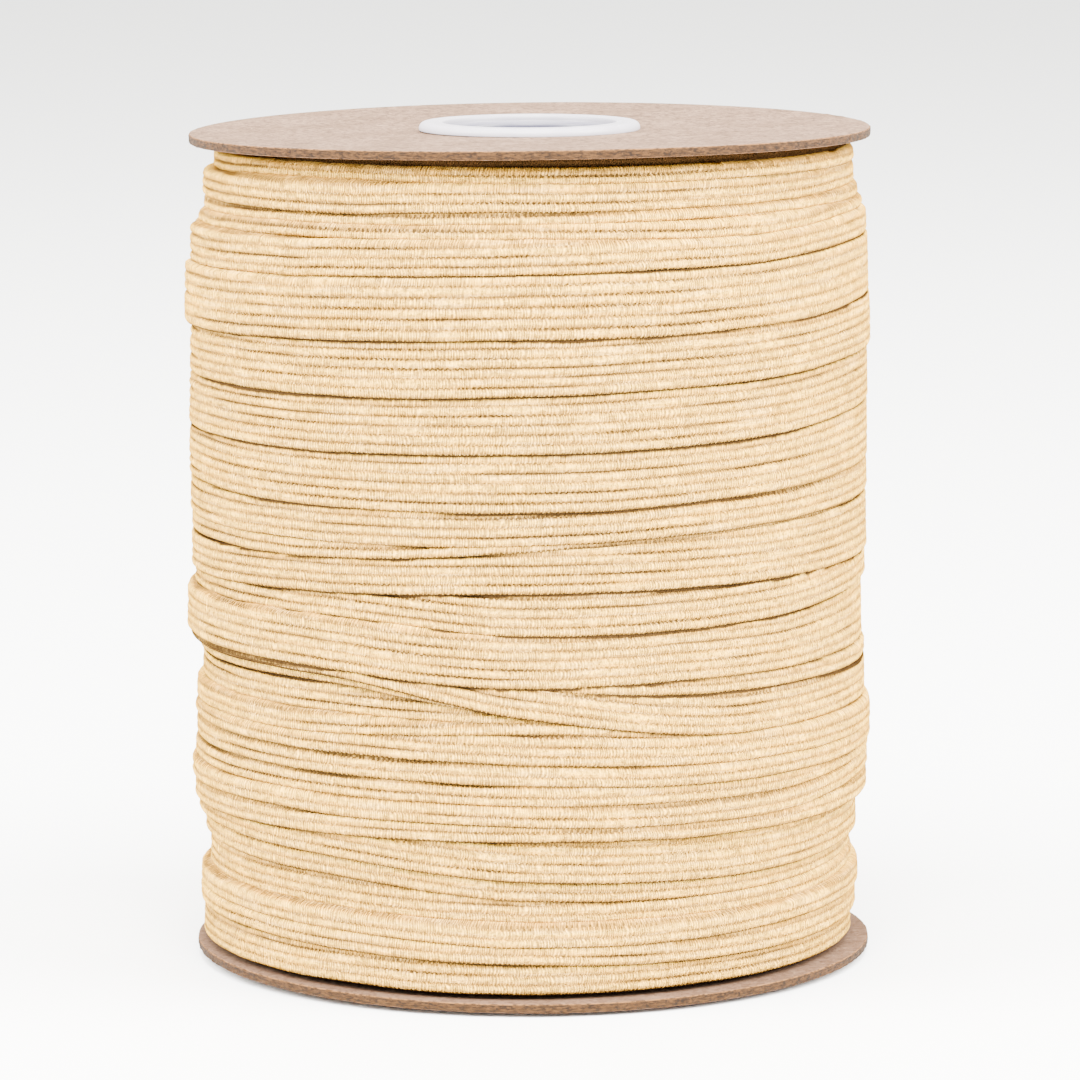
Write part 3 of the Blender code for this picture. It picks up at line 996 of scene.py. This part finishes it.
def hub_ring(name, profile):
    """A hub half, with a mark for how far inside its bore each point lies."""
    inside = []
    for r, z in profile:
        depth = max(min(z, BOARDS_TALL - z) + LIFT - FACE_SKIN, 0.0)
        shade = (LIP_SHADE * min(depth / LIP_DEEP, 1.0)
                 + (1 - LIP_SHADE) * min(max(depth - BORE_FROM, 0.0) / BORE_SPAN, 1.0))
        inside.append(shade if r < MOUTH_END else 0.0)
    return turned(name, profile, HUB_STEPS, {"in_bore": inside})


def plastic_recipe(b):
    """White moulded plastic: nearly plain, with faint flow and handling marks."""
    here = b.here()
    cloud = b.noise(240.0, 3.0, 0.5, here)
    fine = b.noise(3200.0, 2.0, 0.6, here)
    colour = b.blend(cloud.step(0.3, 0.7), PLASTIC, PLASTIC_PALE)
    colour = b.blend(b.mark("in_bore") * 0.97, colour, BORE_SHADE)
    return {"Base Color": colour, "Roughness": 0.30 + cloud * 0.16,
            "Normal": b.bump(0.12, 0.04 * MM, fine + cloud * 0.8)}


white_plastic = new_material("white_plastic", plastic_recipe, IOR=1.49)

# %% The two hub halves
hub_lower = as_object("hub_lower", hub_ring(
    "hub_lower", [(r, z - LIFT) for r, z in hub_section(False)]), white_plastic)
hub_upper = as_object("hub_upper", hub_ring(
    "hub_upper", [(r, BOARDS_TALL + LIFT - z) for r, z in hub_section(True)]), white_plastic)
print("hub halves:", len(hub_lower.data.polygons), "faces each")

# %% [markdown]
# ## Camera
#
# The camera stands where the photograph's stood, worked out from the outlines of the two
# boards: about 67 cm away, a little above the spool, with a long lens. Long lenses flatten
# perspective, which is why the two discs look almost the same width.

# %% Place the camera
FRAME_PX = 1080.0        # width of the photograph in pixels
FOCAL_PX = 5998.8        # focal length in those pixels
ASIDE_PX = 8.67          # the spool's axis stands this many pixels beside the middle
SENSOR = 36.0            # width of the sensor, in mm
DISTANCE = 0.66951       # metres from the spool's axis
EYE = 0.14041 + LIFT * MM        # metres over the floor
PITCH = math.radians(8.034)
YAW = math.atan(ASIDE_PX / FOCAL_PX)
ROLL = math.radians(0.2535)

camera_data = bpy.data.cameras.new("camera")
camera_data.sensor_width = SENSOR
camera_data.lens = SENSOR * FOCAL_PX / FRAME_PX
camera_data.clip_start = 0.01
camera = put("camera", camera_data)
forward = Vector((math.sin(YAW) * math.cos(PITCH), math.cos(YAW) * math.cos(PITCH),
                  -math.sin(PITCH)))
right = forward.cross(Vector((0, 0, 1))).normalized()
up = right.cross(forward)
right, up = (right * math.cos(ROLL) - up * math.sin(ROLL),
             up * math.cos(ROLL) + right * math.sin(ROLL))
camera.matrix_world = Matrix.Translation((0.0, -DISTANCE, EYE)) @ Matrix(
    (right, up, -forward)).transposed().to_4x4()
bpy.context.scene.camera = camera
print("lens in mm:", round(camera_data.lens, 1))

# %% [markdown]
# ## Floor and light
#
# The photograph is lit from all round: the roll is nearly as bright at its sides as in front,
# and only the creases are dark. So most of the light is a white surround, with broad soft
# panels at both sides and a stronger one high in front, and a weak one above.

# %% Floor, surround and panels
FLOOR_HALF = 6.0         # metres from the spool to the floor's edge
AIM = Vector((0, 0, 0.047))      # the middle of the spool
WARM_WHITE = (1.0, 0.97, 0.88)
SURROUND = 2.9           # strength of the white surround
floor_mesh = bpy.data.meshes.new("floor")
floor_mesh.from_pydata([(x * FLOOR_HALF, y * FLOOR_HALF, 0)
                        for x, y in ((-1, -1), (1, -1), (1, 1), (-1, 1))],
                       [], [(0, 1, 2, 3)])


def floor_recipe(b):
    cloud = b.noise(2.0, 2.0, 0.5, b.here())
    return {"Base Color": b.blend(cloud, (0.86, 0.89, 0.96), (0.88, 0.91, 0.97))}


floor = as_object("floor", floor_mesh, new_material("floor_paper", floor_recipe,
                                                    Roughness=0.9))

world = bpy.data.worlds.new("surround")
bpy.context.scene.world = world
world.use_nodes = True
background = world.node_tree.nodes["Background"]
background.inputs["Color"].default_value = (*WARM_WHITE, 1.0)
background.inputs["Strength"].default_value = SURROUND

PANELS = (   # name, place in metres, width in metres, power in watts, colour
    ("panel_left", (-0.80, -0.30, 0.65), 0.7, 56.0, WARM_WHITE),
    ("panel_right", (0.80, -0.30, 0.65), 0.7, 66.0, WARM_WHITE),
    ("panel_front", (0.0, -0.85, 1.05), 0.8, 96.0, WARM_WHITE),
    ("panel_top", (0.0, 0.05, 0.9), 0.8, 18.0, (1.0, 0.97, 0.90)),
)
for name, place, size, power, tint in PANELS:
    lamp_data = bpy.data.lights.new(name, "AREA")
    lamp_data.shape = "SQUARE"
    lamp_data.size = size
    lamp_data.energy = power
    lamp_data.color = tint
    lamp = put(name, lamp_data)
    lamp.location = place
    lamp.rotation_euler = (AIM - Vector(place)).to_track_quat("-Z", "Y").to_euler()
print("panels:", len(PANELS))

# %% [markdown]
# ## Hand over
#
# Every piece is tied to the model: which body it moves with, and which solid it stands for,
# whose own mesh is then hidden. A spool has no joints, so its one body is root.

# %% Tie the pieces to the model
DRESS = [(piece, "elastic_roll") for piece in (*band_pieces, inner_turns)]
DRESS += [(upper_board, "top_flange"), (lower_board, "bottom_flange"),
          (hub_upper, "hub_top"), (hub_lower, "hub_bottom")]
for piece, node in DRESS:
    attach(piece, "root")
    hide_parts(node)
